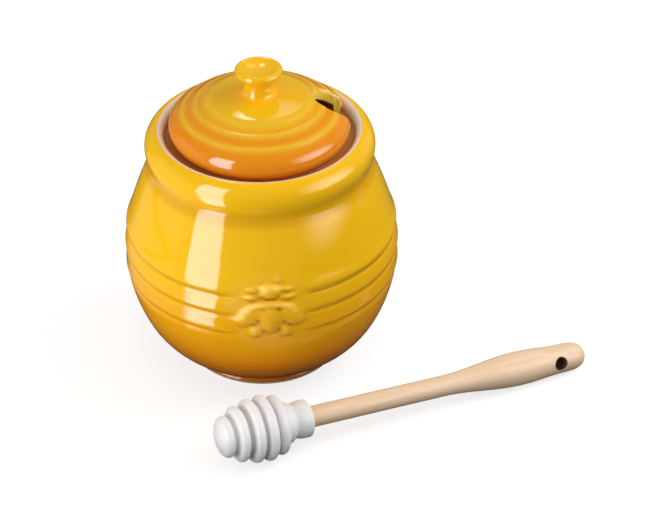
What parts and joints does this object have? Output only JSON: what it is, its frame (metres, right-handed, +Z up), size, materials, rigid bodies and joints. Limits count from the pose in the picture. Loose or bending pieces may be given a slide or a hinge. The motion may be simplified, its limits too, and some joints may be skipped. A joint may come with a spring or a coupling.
{
  "type": "honey pot",
  "caption": "Round yellow stoneware honey pot with a rolled rim, grooved belly, relief bee and slotted knob lid, and a wood-handled honey dipper lying beside it.",
  "frame": {"origin": "centre of the pot's foot ring, on the plane the pot and the dipper stand on", "axes": "+Z up along the pot's turning axis, +X to the right of the side that carries the bee and the way the dipper's handle mostly runs, -Y towards the bee and the dipper"},
  "size_m": [0.1867, 0.1438, 0.1308],
  "materials": {
    "pot_glaze": "gloss",
    "lid_glaze": "gloss",
    "beech": "smooth",
    "soft_head": "matt"
  },
  "bodies": {
    "pot": {"pot_body": "pot_glaze"},
    "lid": {"lid": "lid_glaze"},
    "handle": {"dipper_handle": "beech"},
    "head": {"dipper_head": "soft_head"}
  },
  "joints": [
    {"name": "lid_lift", "type": "slide", "parent": "pot", "child": "lid", "axis": [0, 0, 1], "range_m": [0, 0.06]},
    {"name": "dipper_lift", "type": "slide", "parent": "pot", "child": "handle", "axis": [0, 0, 1], "range_m": [0, 0.16]},
    {"name": "head_pull", "type": "slide", "parent": "handle", "child": "head", "axis": [-0.914, -0.4022, 0.0532], "range_m": [0, 0.03]}
  ]
}
